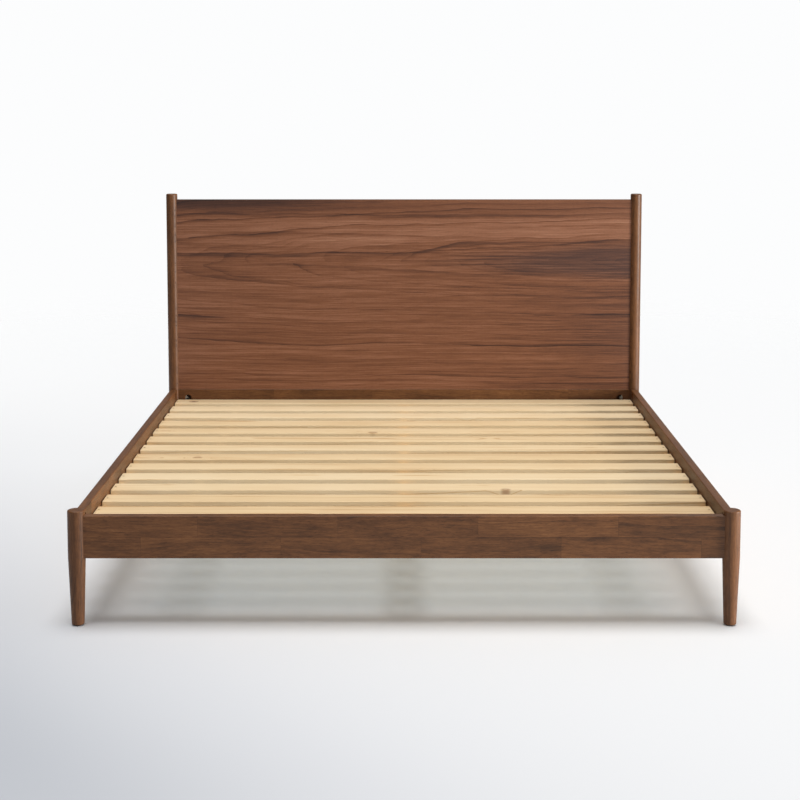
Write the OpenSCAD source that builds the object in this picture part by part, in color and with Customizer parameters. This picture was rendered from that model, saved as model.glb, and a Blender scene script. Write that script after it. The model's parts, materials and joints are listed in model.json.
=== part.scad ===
// King-size wooden bed frame: a veneered headboard panel between two round posts, a low foot
// rail between posts with tapered legs, side rails bolted to the posts, and a slatted base
// carried on ledgers and on a centre beam with two adjustable legs.
//
// Millimetres. +Z is up and the floor is Z = 0. The foot end faces -Y, the head end +Y, and
// the origin is on the floor under the middle of the frame.

/* [Mattress] */
// Width of the mattress that the frame holds
mattress_w = 1930; // [1370:10:1930]
// Length of the mattress that the frame holds
mattress_l = 2032; // [1900:1:2130]
// Gap between the mattress and each side rail
side_gap = 4.5; // [2:0.5:15]
// Gap between the mattress and the rail at each end
end_gap = 3.5; // [2:0.5:15]

/* [Posts] */
// Diameter of the headboard posts
head_post_d = 47; // [44:1:60]
// How far the headboard posts stand above the panel
head_post_rise = 24; // [8:1:100]
// Diameter of the foot posts
foot_post_d = 53; // [50:1:64]
// How far the foot posts stand above the rails
foot_post_rise = 16; // [8:1:100]
// How much narrower a leg is at the floor than at the rail
leg_taper = 14.5; // [0:0.5:15]
// Rounding of a post's top edge
post_round = 5; // [2:0.5:8]

/* [Rails] */
// Height of the rails above the floor
clearance = 208; // [180:1:260]
// Height of a rail
rail_h = 130; // [128:1:150]
// Thickness of a rail
rail_t = 28; // [26:0.5:30]
// Rounding of a rail's long edges
rail_round = 3; // [1:0.5:5]

/* [Headboard] */
// Height of the headboard panel, which stands on the head rail
panel_h = 812; // [400:1:900]
// Thickness of the headboard panel
panel_t = 22; // [18:1:25]

/* [Slats] */
// Number of slats
slat_count = 14; // [10:1:15]
// Width of a slat
slat_w = 90; // [60:1:95]
// Thickness of a slat
slat_t = 18; // [16:1:20]
// Depth of the slats below the top of the rails
slat_drop = 42; // [40:1:46]

/* [Centre support] */
// Width of the centre beam
beam_w = 40; // [36:1:60]
// Height of the centre beam
beam_h = 62; // [50:1:66]
// Distance between the two centre legs
centre_leg_pitch = 520; // [300:10:900]
// Width of a centre leg
centre_leg_w = 42; // [40:1:50]
// Length of an adjustable foot below its leg, on a flat floor
foot_reach = 22; // [18:1:26]

/* [Hidden] */
$fn = 64;
fit_play = 0.05;          // radial play of a fastener in the wood that grips it

// Post axes, rail faces and the space between them
inner_w = mattress_w + 2 * side_gap;
inner_l = mattress_l + 2 * end_gap;
post_x = inner_w / 2 + rail_t / 2;
axis_l = inner_l + rail_t;
foot_y = -axis_l / 2 + (foot_post_d - head_post_d) / 4;
head_y = foot_y + axis_l;
foot_face_y = foot_y + rail_t / 2;
head_face_y = head_y - rail_t / 2;
foot_flat = 20;           // from a foot post's axis to the flat that a rail's end meets
head_flat = 16;           // the same in a headboard post
rail_top = clearance + rail_h;
panel_top = rail_top + panel_h;

// Bolts and dowels take turns up the rail, so that those of two rails miss each other in a post
fixing_step = 14;
fixing_z = [for (i = [-3 : 3]) clearance + rail_h / 2 + i * fixing_step];
side_bolt_z = [fixing_z[0], fixing_z[6]];
side_dowel_z = [fixing_z[3]];
end_bolt_z = [fixing_z[1], fixing_z[5]];
end_dowel_z = [fixing_z[2], fixing_z[4]];

bolt_d = 8;
bolt_grip = 30;           // length of a bolt's wood thread in the post
bolt_reach = 46;          // length of its machine thread in the rail
rail_bore_d = 9;
pocket_set = 45;          // from a rail's end to the middle of a nut pocket
pocket_d = 28;
pocket_depth = rail_t / 2 + 8;
washer_t = 6;
washer_h = 14;
nut_af = 13;
nut_t = 6.5;
dowel_d = 8;
dowel_in_post = 22;
dowel_in_rail = 26;

// Glides under the posts
glide_d = 26;
glide_t = 3;
nail_d = 3;
nail_l = 18;

// Slats, ledgers and what holds them
slat_top = rail_top - slat_drop;
slat_bottom = slat_top - slat_t;
slat_l = inner_w - 7;
slat_end_gap = 12;
slat_round = 2.5;
slat_pitch = (inner_l - 2 * slat_end_gap - slat_w) / (slat_count - 1);
ledger_t = 25;
ledger_h = 32;
ledger_x = inner_w / 2 - ledger_t / 2;
ledger_end_gap = 23;
ledger_l = inner_l - 2 * ledger_end_gap;
ledger_screw_z = slat_bottom - 20;
screw_d = 4;
screw_head_d = 8;
screw_head_h = 2.6;
slat_screw_l = 38;
ledger_screw_l = 42;
tape_x = 690;
tape_w = 26;
tape_t = 1;
staple_w = 10;
staple_t = 0.8;

// Centre beam, its hangers and its legs
plate_t = 2;
beam_top = slat_bottom;
beam_bottom = beam_top - beam_h;
hanger_ear = 20;
hanger_h = beam_h - 8;
hanger_reach = 42;
hanger_play = 0.5;
hanger_in_w = beam_w + 2 * hanger_play;
hanger_w = hanger_in_w + 2 * plate_t + 2 * hanger_ear;
hanger_screw_x = hanger_in_w / 2 + plate_t + hanger_ear / 2;
hanger_screw_z = [beam_bottom + 12, beam_bottom + hanger_h - 12];
hanger_screw_l = 22;
leg_chamfer = 4;
leg_bolt_l = 60;

// Adjustable feet of the centre legs
stem_d = 8;
stem_l = 44;
insert_d = 11;
insert_l = 24;
insert_flange_d = 22;
insert_flange_t = 1.6;
pad_d = 36;
pad_t = 6.5;
pad_floor_t = 2;
pad_lip_t = 1.8;
swivel_d = 10;            // the disc on a stem's end, which the pad holds captive
swivel_t = 2;
neck_d = 6;
swivel_play = 0.35;
collar_af = 13;
collar_t = 4;

// Fittings that draw the headboard panel to its posts
cam_d = 15;
cam_depth = panel_t / 2 + 1.5;
cam_set = 34;
cam_bolt_d = 7;
cam_bolt_in_post = 11;
cam_end_gap = 110;
cam_z = [for (i = [0 : 2]) rail_top + cam_end_gap + i * (panel_h / 2 - cam_end_gap)];

slat_names = [for (i = [1 : slat_count]) str("slat_", i < 10 ? "0" : "", i)];

walnut = "saddlebrown";
pine = "burlywood";
steel = "silver";

// ---- Shared shapes ----------------------------------------------------------------------

// A rectangle with rounded corners, centred on the origin
module round_rect(w, h, r) {
    square([w - 2 * r, h], center = true);
    square([w, h - 2 * r], center = true);
    for (sx = [-1, 1], sy = [-1, 1])
        translate([sx * (w / 2 - r), sy * (h / 2 - r)]) circle(r);
}

// A bar along +X from the origin, with rounded long edges, centred in Y and Z
module bar_x(length, t, h, r) {
    rotate([90, 0, 90]) linear_extrude(length) round_rect(t, h, r);
}

// A hole or rod along +X from the origin
module rod_x(d, length) {
    rotate([0, 90, 0]) cylinder(d = d, h = length);
}

module hex_prism(across_flats, h) {
    cylinder(d = across_flats / cos(30), h = h, $fn = 6);
}

// A countersunk wood screw whose head is flush with Z = 0 and whose point is below
module wood_screw(length) {
    rotate_extrude() polygon([
        [0, 0], [screw_head_d / 2, 0], [screw_head_d / 2, -0.4],
        [screw_d / 2, -screw_head_h], [screw_d / 2, 5 - length], [0.5, -length], [0, -length]
    ]);
}

// The space that a countersunk wood screw takes up
module wood_screw_bore(length) {
    translate([0, 0, -length - 0.5]) cylinder(d = screw_d + 2 * fit_play, h = length + 1);
    translate([0, 0, -screw_head_h - 0.1])
        cylinder(d1 = screw_d, d2 = screw_head_d + 0.2, h = screw_head_h - 0.3);
    translate([0, 0, -0.41]) cylinder(d = screw_head_d + 0.2, h = 1);
}

// ---- Where things go --------------------------------------------------------------------

// Moves a shape from one corner's own axes (the post's axis at the origin, the end rail
// towards -X and the side rail towards +Y) to the corner on that side of that end
module at_corner(side, is_head) {
    mirror([side < 0 ? 1 : 0, 0, 0])
        translate([post_x, is_head ? head_y : foot_y, 0])
            mirror([0, is_head ? 1 : 0, 0]) children();
}

// In a corner's axes: +X runs along the end rail, from its end, with +Y to its inner face
module along_end_rail(flat) {
    translate([-flat, 0, 0]) mirror([1, 0, 0]) children();
}

// The same along the side rail
module along_side_rail(flat) {
    translate([0, flat, 0]) rotate([0, 0, 90]) children();
}

// A copy at each bolt, or at each dowel, of both corners of one end
module at_fixings(is_head, end_z, side_z) {
    flat = is_head ? head_flat : foot_flat;
    for (side = [-1, 1]) at_corner(side, is_head) {
        for (z = end_z) along_end_rail(flat) translate([0, 0, z]) children();
        for (z = side_z) along_side_rail(flat) translate([0, 0, z]) children();
    }
}

function slat_y(i) = foot_face_y + slat_end_gap + slat_w / 2 + i * slat_pitch;
ledger_screw_y = [for (i = [0 : slat_count - 2]) if (i % 2 == 0) slat_y(i) + slat_pitch / 2];
centre_leg_y = [-centre_leg_pitch / 2, centre_leg_pitch / 2];

// ---- Headboard and footboard ------------------------------------------------------------

// Outline of half a post: a straight shaft with a rounded top, and a tapered leg
module post_outline(r, top, edge) {
    tip = r - leg_taper / 2;
    taper_z = clearance + 2;
    ease = 3;             // the foot's edge is eased with two flats
    polygon([
        [0, glide_t], [tip - ease, glide_t], [tip - 0.3 * ease, glide_t + 0.3 * ease],
        [tip, glide_t + ease], [r, taper_z], [0, taper_z]
    ]);
    translate([0, taper_z]) square([r, top - taper_z - edge]);
    translate([0, taper_z]) square([r - edge, top - taper_z]);
    translate([r - edge, top - edge]) circle(edge);
}

// A post in its corner's axes, with a housing and bores for each rail that it carries
module post(d, top, flat) {
    r = d / 2;
    difference() {
        rotate_extrude() post_outline(r, top, post_round);
        translate([-r - 1, -rail_t / 2, clearance]) cube([r + 1 - flat, rail_t, rail_h]);
        translate([-rail_t / 2, flat, clearance]) cube([rail_t, r, rail_h]);
        for (z = end_bolt_z) along_end_rail(flat) post_bore(z, bolt_d, bolt_grip);
        for (z = side_bolt_z) along_side_rail(flat) post_bore(z, bolt_d, bolt_grip);
        for (z = end_dowel_z) along_end_rail(flat) post_bore(z, dowel_d, dowel_in_post);
        for (z = side_dowel_z) along_side_rail(flat) post_bore(z, dowel_d, dowel_in_post);
        translate([0, 0, glide_t - 1]) cylinder(d = nail_d + 2 * fit_play, h = nail_l + 2);
    }
}

module post_bore(z, d, depth) {
    translate([-depth - 1, 0, z]) rod_x(d + 2 * fit_play, depth + 2);
}

module foot_post(side) {
    color(walnut) at_corner(side, false)
        post(foot_post_d, rail_top + foot_post_rise, foot_flat);
}

// A headboard post is a post with a groove for the panel and sockets for its fittings
module head_post(side) {
    color(walnut) at_corner(side, true) difference() {
        post(head_post_d, panel_top + head_post_rise, head_flat);
        translate([-head_post_d, -panel_t / 2, rail_top - 1])
            cube([head_post_d - head_flat, panel_t, panel_h + 1]);
        for (z = cam_z) along_end_rail(head_flat) post_bore(z, cam_bolt_d, cam_bolt_in_post);
    }
}

// A rail along +X from its end, with its inner face at +Y
module rail(length, bolt_z, dowel_z) {
    difference() {
        translate([0, 0, clearance + rail_h / 2]) bar_x(length, rail_t, rail_h, rail_round);
        for (flip = [0, 1]) translate([flip * length, 0, 0]) mirror([flip, 0, 0]) {
            for (z = bolt_z) translate([0, 0, z]) {
                translate([-1, 0, 0]) rod_x(rail_bore_d, pocket_set + 5);
                translate([pocket_set, rail_t / 2 - pocket_depth, 0])
                    rotate([-90, 0, 0]) cylinder(d = pocket_d, h = pocket_depth + 1);
            }
            for (z = dowel_z)
                translate([-1, 0, z]) rod_x(dowel_d + 2 * fit_play, dowel_in_rail + 2);
        }
    }
}

// The rail across one end, with pilot holes for its beam hanger
module end_rail(is_head) {
    flat = is_head ? head_flat : foot_flat;
    length = 2 * (post_x - flat);
    color(walnut) translate([0, is_head ? head_y : foot_y, 0]) mirror([0, is_head ? 1 : 0, 0])
        difference() {
            translate([-length / 2, 0, 0]) rail(length, end_bolt_z, end_dowel_z);
            at_hanger_screws(rail_t / 2)
                translate([0, 0, -hanger_screw_l - 1])
                    cylinder(d = screw_d + 2 * fit_play, h = hanger_screw_l + 2);
        }
}

// A copy at each hanger screw, pointing into the rail, from the plane Y = y
module at_hanger_screws(y) {
    for (sx = [-1, 1], z = hanger_screw_z)
        translate([sx * hanger_screw_x, y, z]) rotate([-90, 0, 0]) children();
}

module headboard_panel() {
    half = post_x - head_flat;
    color("sienna") translate([0, head_y, 0]) difference() {
        translate([-half, -panel_t / 2, rail_top]) cube([2 * half, panel_t, panel_h]);
        for (sx = [-1, 1], z = cam_z) {
            translate([sx * (half - cam_set), panel_t / 2 - cam_depth, z])
                rotate([-90, 0, 0]) cylinder(d = cam_d + 2 * fit_play, h = cam_depth + 1);
            translate([sx > 0 ? half - cam_set : -half - 1, 0, z])
                rod_x(cam_bolt_d + 1, cam_set + 1);
        }
    }
}

// ---- Side rails, ledgers and slats ------------------------------------------------------

module side_rail(side) {
    length = axis_l - foot_flat - head_flat;
    color(walnut) mirror([side < 0 ? 1 : 0, 0, 0]) difference() {
        translate([post_x, foot_y + foot_flat, 0])
            rotate([0, 0, 90]) rail(length, side_bolt_z, side_dowel_z);
        at_ledger_screws() wood_screw_bore(ledger_screw_l);
    }
}

// A copy at each ledger screw of the right-hand side, pointing out through the ledger
module at_ledger_screws() {
    for (y = ledger_screw_y)
        translate([inner_w / 2 - ledger_t, y, ledger_screw_z]) rotate([0, -90, 0]) children();
}

module ledger(side) {
    color(pine) mirror([side < 0 ? 1 : 0, 0, 0]) difference() {
        translate([ledger_x, foot_face_y + ledger_end_gap, slat_bottom - ledger_h / 2])
            rotate([0, 0, 90]) bar_x(ledger_l, ledger_t, ledger_h, 1);
        at_ledger_screws() wood_screw_bore(ledger_screw_l);
        for (i = [0 : slat_count - 1])
            translate([ledger_x, slat_y(i), slat_top]) wood_screw_bore(slat_screw_l);
    }
}

module slat(i) {
    color(pine) translate([0, slat_y(i), 0]) difference() {
        translate([-slat_l / 2, 0, slat_top - slat_t / 2]) bar_x(slat_l, slat_w, slat_t, slat_round);
        for (sx = [-1, 1])
            translate([sx * ledger_x, 0, slat_top]) wood_screw_bore(slat_screw_l);
    }
}

module slat_screws(side) {
    color(steel) for (i = [0 : slat_count - 1])
        translate([side * ledger_x, slat_y(i), slat_top]) wood_screw(slat_screw_l);
}

module ledger_screws(side) {
    color(steel) mirror([side < 0 ? 1 : 0, 0, 0]) at_ledger_screws() wood_screw(ledger_screw_l);
}

// Webbing that joins the slats, stapled to their undersides
module slat_tape(side) {
    color("dimgray") translate([side * tape_x - tape_w / 2, slat_y(0) - slat_w / 2 + 8, 0])
        translate([0, 0, slat_bottom - tape_t])
            cube([tape_w, (slat_count - 1) * slat_pitch + slat_w - 16, tape_t]);
}

module tape_staples() {
    color(steel) for (sx = [-1, 1], i = [0 : slat_count - 1], dy = [-18, 18])
        translate([sx * tape_x - staple_w / 2, slat_y(i) + dy, slat_bottom - tape_t - staple_t])
            cube([staple_w, staple_t, staple_t]);
}

// ---- Fixings between posts and rails ----------------------------------------------------

module rail_bolts(is_head) {
    color(steel) at_fixings(is_head, end_bolt_z, side_bolt_z)
        translate([-bolt_grip, 0, 0]) rod_x(bolt_d, bolt_grip + bolt_reach);
}

// Its round side bears on the wall of the nut pocket, and its flat side carries the nut
module half_moon_washer() {
    r = pocket_d / 2 - 0.2;
    difference() {
        intersection() {
            translate([pocket_set, -washer_h / 2, 0]) rotate([-90, 0, 0]) cylinder(r = r, h = washer_h);
            translate([pocket_set - r - 1, -washer_h / 2 - 1, -r])
                cube([washer_t + 1, washer_h + 2, 2 * r]);
        }
        rod_x(bolt_d + 0.8, 2 * pocket_set);
    }
}

module half_moon_washers(is_head) {
    color(steel) at_fixings(is_head, end_bolt_z, side_bolt_z) half_moon_washer();
}

module rail_nuts(is_head) {
    seat = pocket_set - pocket_d / 2 + 0.2 + washer_t;
    color(steel) at_fixings(is_head, end_bolt_z, side_bolt_z)
        translate([seat, 0, 0]) difference() {
            rotate([0, 90, 0]) hex_prism(nut_af, nut_t);
            translate([-1, 0, 0]) rod_x(bolt_d + 2 * fit_play, nut_t + 2);
        }
}

module rail_dowels(is_head) {
    color(pine) at_fixings(is_head, end_dowel_z, side_dowel_z)
        translate([-dowel_in_post, 0, 0]) rod_x(dowel_d, dowel_in_post + dowel_in_rail);
}

module at_cams() {
    for (side = [-1, 1], z = cam_z)
        at_corner(side, true) along_end_rail(head_flat) translate([0, 0, z]) children();
}

// A disc with a cross slot, let into the panel's back, that grips a cam bolt
module cam_locks() {
    color(steel) at_cams() difference() {
        translate([cam_set, -panel_t / 2, 0]) rotate([-90, 0, 0]) cylinder(d = cam_d, h = cam_depth);
        translate([cam_set - cam_d, 0, 0]) rod_x(cam_bolt_d + 0.4, cam_d + 4);
        for (turn = [0, 90]) translate([cam_set, -panel_t / 2, 0]) rotate([0, turn, 0])
            translate([-5, -1, -0.8]) cube([10, 3, 1.6]);
    }
}

module cam_bolts() {
    color(steel) at_cams()
        translate([1 - cam_bolt_in_post, 0, 0]) rod_x(cam_bolt_d, cam_bolt_in_post + cam_set - 2);
}

// ---- Centre beam and its hangers --------------------------------------------------------

module centre_beam() {
    length = inner_l - 2 * plate_t - 2;
    color(pine) difference() {
        translate([0, foot_face_y + plate_t + 1, beam_bottom + beam_h / 2])
            rotate([0, 0, 90]) bar_x(length, beam_w, beam_h, 2);
        for (y = centre_leg_y) translate([0, y, beam_bottom - 1])
            cylinder(d = bolt_d + 2 * fit_play, h = leg_bolt_l / 2 + 2);
    }
}

// A bent steel shoe, screwed to the end rail, that the beam drops into
module beam_hanger(is_head) {
    color(steel) translate([0, is_head ? head_face_y : foot_face_y, 0])
        mirror([0, is_head ? 1 : 0, 0]) difference() {
            union() {
                translate([-hanger_w / 2, 0, beam_bottom - plate_t])
                    cube([hanger_w, plate_t, hanger_h + plate_t]);
                translate([-hanger_in_w / 2 - plate_t, 0, beam_bottom - plate_t])
                    cube([hanger_in_w + 2 * plate_t, hanger_reach, plate_t]);
                for (sx = [0, 1]) mirror([sx, 0, 0])
                    translate([hanger_in_w / 2, 0, beam_bottom - plate_t])
                        cube([plate_t, hanger_reach, hanger_h + plate_t]);
            }
            at_hanger_screws(-1) cylinder(d = screw_d + 2 * fit_play, h = plate_t + 2);
        }
}

module pan_screw(length) {
    translate([0, 0, -length]) cylinder(d = screw_d, h = length);
    rotate_extrude() {
        square([screw_head_d / 2 - 1, 2.4]);
        square([screw_head_d / 2, 1.4]);
        translate([screw_head_d / 2 - 1, 1.4]) circle(1);
    }
}

module hanger_screws() {
    color(steel) for (is_head = [false, true])
        translate([0, is_head ? head_face_y : foot_face_y, 0])
            mirror([0, is_head ? 1 : 0, 0]) at_hanger_screws(plate_t) pan_screw(hanger_screw_l);
}

// ---- Centre legs and their adjustable feet ----------------------------------------------

module centre_leg(which) {
    diagonal = (centre_leg_w - leg_chamfer) * sqrt(2);
    color(pine) translate([0, centre_leg_y[which], foot_reach]) difference() {
        linear_extrude(beam_bottom - foot_reach) intersection() {
            square(centre_leg_w, center = true);
            rotate(45) square(diagonal, center = true);
        }
        translate([0, 0, beam_bottom - foot_reach - leg_bolt_l / 2])
            cylinder(d = bolt_d + 2 * fit_play, h = leg_bolt_l);
        translate([0, 0, -1]) cylinder(d = insert_d + 2 * fit_play, h = stem_l + 2);
    }
}

module centre_leg_bolts() {
    color(steel) for (y = centre_leg_y)
        translate([0, y, beam_bottom - leg_bolt_l / 2]) cylinder(d = bolt_d, h = leg_bolt_l);
}

// The threaded sleeve in a leg's end, with a flange under the leg
module leg_insert(which) {
    color(steel) translate([0, centre_leg_y[which], foot_reach]) difference() {
        union() {
            cylinder(d = insert_d, h = insert_l);
            translate([0, 0, -insert_flange_t]) cylinder(d = insert_flange_d, h = insert_flange_t);
        }
        translate([0, 0, -5]) cylinder(d = stem_d + 2 * fit_play, h = insert_l + 10);
    }
}

// The threaded stem, with a spanner collar and a disc on its end that turns in the pad
module foot_stem(which) {
    swivel_z = pad_floor_t + swivel_play;
    collar_z = pad_t + 0.8;
    color(steel) translate([0, centre_leg_y[which], 0]) {
        translate([0, 0, swivel_z]) cylinder(d = swivel_d, h = swivel_t);
        translate([0, 0, swivel_z]) cylinder(d = neck_d, h = collar_z - swivel_z + 1);
        translate([0, 0, collar_z]) hex_prism(collar_af, collar_t);
        translate([0, 0, collar_z + 1]) cylinder(d = stem_d, h = stem_l - collar_z - 1);
    }
}

// The pad that stands on the floor
module foot_pad(which) {
    color("dimgray") translate([0, centre_leg_y[which], 0]) difference() {
        rotate_extrude() {
            square([pad_d / 2 - 3, pad_t]);
            square([pad_d / 2, pad_t - 3]);
            translate([pad_d / 2 - 3, pad_t - 3]) circle(3);
        }
        translate([0, 0, pad_floor_t])
            cylinder(d = swivel_d + 2 * swivel_play, h = pad_t - pad_lip_t - pad_floor_t);
        translate([0, 0, pad_floor_t]) cylinder(d = neck_d + 2 * swivel_play, h = pad_t);
    }
}

// ---- Glides -----------------------------------------------------------------------------

// A nylon disc on a nail, under a post
module glide(side, is_head) {
    color("dimgray") at_corner(side, is_head) {
        cylinder(d = glide_d, h = glide_t);
        cylinder(d = nail_d, h = glide_t + nail_l);
    }
}

// ---- Nodes ------------------------------------------------------------------------------

headboard_panel();
head_post(-1);  // head_post_left
head_post(1);  // head_post_right
end_rail(true);  // head_rail
end_rail(false);  // foot_rail
foot_post(-1);  // foot_post_left
foot_post(1);  // foot_post_right
side_rail(-1);  // side_rail_left
side_rail(1);  // side_rail_right
ledger(-1);  // ledger_left
ledger(1);  // ledger_right
centre_beam();
beam_hanger(true);  // beam_hanger_head
beam_hanger(false);  // beam_hanger_foot
hanger_screws();
centre_leg(0);  // centre_leg_front
centre_leg(1);  // centre_leg_rear
centre_leg_bolts();
leg_insert(0);  // leg_insert_front
leg_insert(1);  // leg_insert_rear
foot_stem(0);  // foot_stem_front
foot_stem(1);  // foot_stem_rear
foot_pad(0);  // foot_pad_front
foot_pad(1);  // foot_pad_rear
glide(-1, true);  // glide_head_left
glide(1, true);  // glide_head_right
glide(-1, false);  // glide_foot_left
glide(1, false);  // glide_foot_right
rail_bolts(true);  // rail_bolts_head
rail_bolts(false);  // rail_bolts_foot
half_moon_washers(true);  // half_moon_washers_head
half_moon_washers(false);  // half_moon_washers_foot
rail_nuts(true);  // rail_nuts_head
rail_nuts(false);  // rail_nuts_foot
rail_dowels(true);  // rail_dowels_head
rail_dowels(false);  // rail_dowels_foot
cam_locks();
cam_bolts();
ledger_screws(-1);  // ledger_screws_left
ledger_screws(1);  // ledger_screws_right
slat_screws(-1);  // slat_screws_left
slat_screws(1);  // slat_screws_right
slat_tape(-1);  // slat_tape_left
slat_tape(1);  // slat_tape_right
tape_staples();
for (i = [0 : slat_count - 1]) slat(i);
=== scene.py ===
"""Looks of the wooden bed frame: walnut headboard and rails, pine base, steel and nylon fittings."""

import json
import math

import bmesh
import bpy
from mathutils import Matrix, Vector

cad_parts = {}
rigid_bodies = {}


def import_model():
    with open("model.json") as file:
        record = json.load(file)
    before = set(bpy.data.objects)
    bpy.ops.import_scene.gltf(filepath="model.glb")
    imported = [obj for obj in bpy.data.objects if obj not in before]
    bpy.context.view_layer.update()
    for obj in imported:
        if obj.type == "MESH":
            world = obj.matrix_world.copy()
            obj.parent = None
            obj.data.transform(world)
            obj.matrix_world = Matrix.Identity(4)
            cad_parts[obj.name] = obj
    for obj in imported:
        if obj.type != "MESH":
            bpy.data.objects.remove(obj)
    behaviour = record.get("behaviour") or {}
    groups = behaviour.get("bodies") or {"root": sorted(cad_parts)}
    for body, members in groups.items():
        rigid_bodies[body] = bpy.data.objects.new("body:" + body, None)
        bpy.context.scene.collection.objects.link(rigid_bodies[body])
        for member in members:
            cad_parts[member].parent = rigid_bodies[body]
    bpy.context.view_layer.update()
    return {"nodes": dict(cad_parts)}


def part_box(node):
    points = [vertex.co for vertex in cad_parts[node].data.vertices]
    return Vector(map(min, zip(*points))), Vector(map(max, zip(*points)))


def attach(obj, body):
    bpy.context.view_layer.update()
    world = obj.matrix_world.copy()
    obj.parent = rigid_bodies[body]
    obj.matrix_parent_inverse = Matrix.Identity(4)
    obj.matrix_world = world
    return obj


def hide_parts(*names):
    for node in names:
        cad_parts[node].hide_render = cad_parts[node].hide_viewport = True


for leftover in list(bpy.data.objects):
    bpy.data.objects.remove(leftover)
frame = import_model()

# ---- Places that the frame gives -------------------------------------------------------

PANEL_LOW, PANEL_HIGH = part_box("headboard_panel")
RAIL_LOW, RAIL_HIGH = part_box("foot_rail")
SLATS = sorted(n for n in frame["nodes"] if n.startswith("slat_") and n[5:].isdigit())
SLAT_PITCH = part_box(SLATS[1])[0].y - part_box(SLATS[0])[0].y
STAVE_H = (RAIL_HIGH.z - RAIL_LOW.z) / 2  # the rails are glued up from two rows of staves
STAVE_L = 0.42


def middle(node):
    low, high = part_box(node)
    return (low + high) / 2


# ---- Camera and lights -----------------------------------------------------------------

CAMERA_AT = (0.0, -5.734, 1.594)
CAMERA_PITCH = 5.49  # degrees below the horizon
CAMERA_LENS = 72.03  # millimetres, as the next
CAMERA_SENSOR = 36
CAMERA_SHIFT = (-0.005, -0.19)

OVERHEAD_STRENGTH = 2.2
OVERHEAD_SPREAD = 34  # degrees
WINDOW_AT = (7.4, -2.8, 1.2)
WINDOW_TOWARDS = (0.0, 0.0, 0.6)
WINDOW_SIZE = (2.0, 1.8)
WINDOW_WATTS = 690
WINDOW_COLOUR = (1.0, 0.985, 0.96)

SURROUND_SEEN = (0.975, 0.98, 0.985, 1)
SURROUND_LIGHT = (0.96, 0.98, 1.0, 1)
SURROUND_MEAN = 0.31
SURROUND_TILT = 0.22  # how much stronger it is straight from the right


def make_camera():
    camera = bpy.data.objects.new("camera", bpy.data.cameras.new("camera"))
    bpy.context.scene.collection.objects.link(camera)
    camera.location = CAMERA_AT
    camera.rotation_euler = (math.radians(90 - CAMERA_PITCH), 0, 0)
    camera.data.lens = CAMERA_LENS
    camera.data.sensor_width = CAMERA_SENSOR
    camera.data.shift_x, camera.data.shift_y = CAMERA_SHIFT
    bpy.context.scene.camera = camera


def make_light(name, kind, strength):
    light = bpy.data.objects.new(name, bpy.data.lights.new(name, kind))
    light.data.energy = strength
    bpy.context.scene.collection.objects.link(light)
    return light


def make_lights(floor):
    """A broad soft light straight above, and a low one on the right that is kept off the floor."""
    above = make_light("above", "SUN", OVERHEAD_STRENGTH)
    above.data.angle = math.radians(OVERHEAD_SPREAD)
    window = make_light("window", "AREA", WINDOW_WATTS)
    window.data.shape = "RECTANGLE"
    window.data.size, window.data.size_y = WINDOW_SIZE
    window.data.color = WINDOW_COLOUR
    window.location = WINDOW_AT
    aim = Vector(WINDOW_TOWARDS) - Vector(WINDOW_AT)
    window.rotation_euler = aim.to_track_quat("-Z", "Y").to_euler()
    kept_dark = bpy.data.collections.new("kept_dark")
    kept_dark.objects.link(floor)
    kept_dark.collection_objects[0].light_linking.link_state = "EXCLUDE"
    window.light_linking.receiver_collection = kept_dark


def make_world():
    """A white surround, which lights less from the left and which the camera sees as white."""
    world = bpy.data.worlds.new("studio")
    bpy.context.scene.world = world
    world.use_nodes = True
    tree = world.node_tree
    tree.nodes.clear()
    path = tree.nodes.new("ShaderNodeLightPath")
    seen = tree.nodes.new("ShaderNodeBackground")
    light = tree.nodes.new("ShaderNodeBackground")
    seen.inputs["Color"].default_value = SURROUND_SEEN
    light.inputs["Color"].default_value = SURROUND_LIGHT
    split = tree.nodes.new("ShaderNodeSeparateXYZ")
    share = tree.nodes.new("ShaderNodeMath")
    share.operation = "MULTIPLY_ADD"
    share.inputs[1].default_value = SURROUND_TILT
    share.inputs[2].default_value = SURROUND_MEAN
    tree.links.new(tree.nodes.new("ShaderNodeTexCoord").outputs["Generated"], split.inputs[0])
    tree.links.new(split.outputs[0], share.inputs[0])
    tree.links.new(share.outputs[0], light.inputs["Strength"])
    mix = tree.nodes.new("ShaderNodeMixShader")
    output = tree.nodes.new("ShaderNodeOutputWorld")
    tree.links.new(path.outputs["Is Camera Ray"], mix.inputs[0])
    tree.links.new(light.outputs[0], mix.inputs[1])
    tree.links.new(seen.outputs[0], mix.inputs[2])
    tree.links.new(mix.outputs[0], output.inputs[0])


# ---- Material graphs -------------------------------------------------------------------


def srgb(red, green, blue):
    """A display colour from 0 to 255 as a shader's linear colour."""
    shares = [c / 255 for c in (red, green, blue)]
    return tuple(c / 12.92 if c <= 0.04045 else ((c + 0.055) / 1.055) ** 2.4 for c in shares) + (1,)


class Value:
    """A number that varies over a surface. Sums and products of it add nodes to its graph."""

    def __init__(self, graph, socket):
        self.graph = graph
        self.socket = socket

    def __add__(self, other):
        return self.graph.math("ADD", self, other)

    def __sub__(self, other):
        return self.graph.math("SUBTRACT", self, other)

    def __rsub__(self, other):
        return self.graph.math("SUBTRACT", other, self)

    def __mul__(self, other):
        return self.graph.math("MULTIPLY", self, other)

    def __truediv__(self, other):
        return self.graph.math("DIVIDE", self, other)

    __radd__ = __add__
    __rmul__ = __mul__


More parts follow.
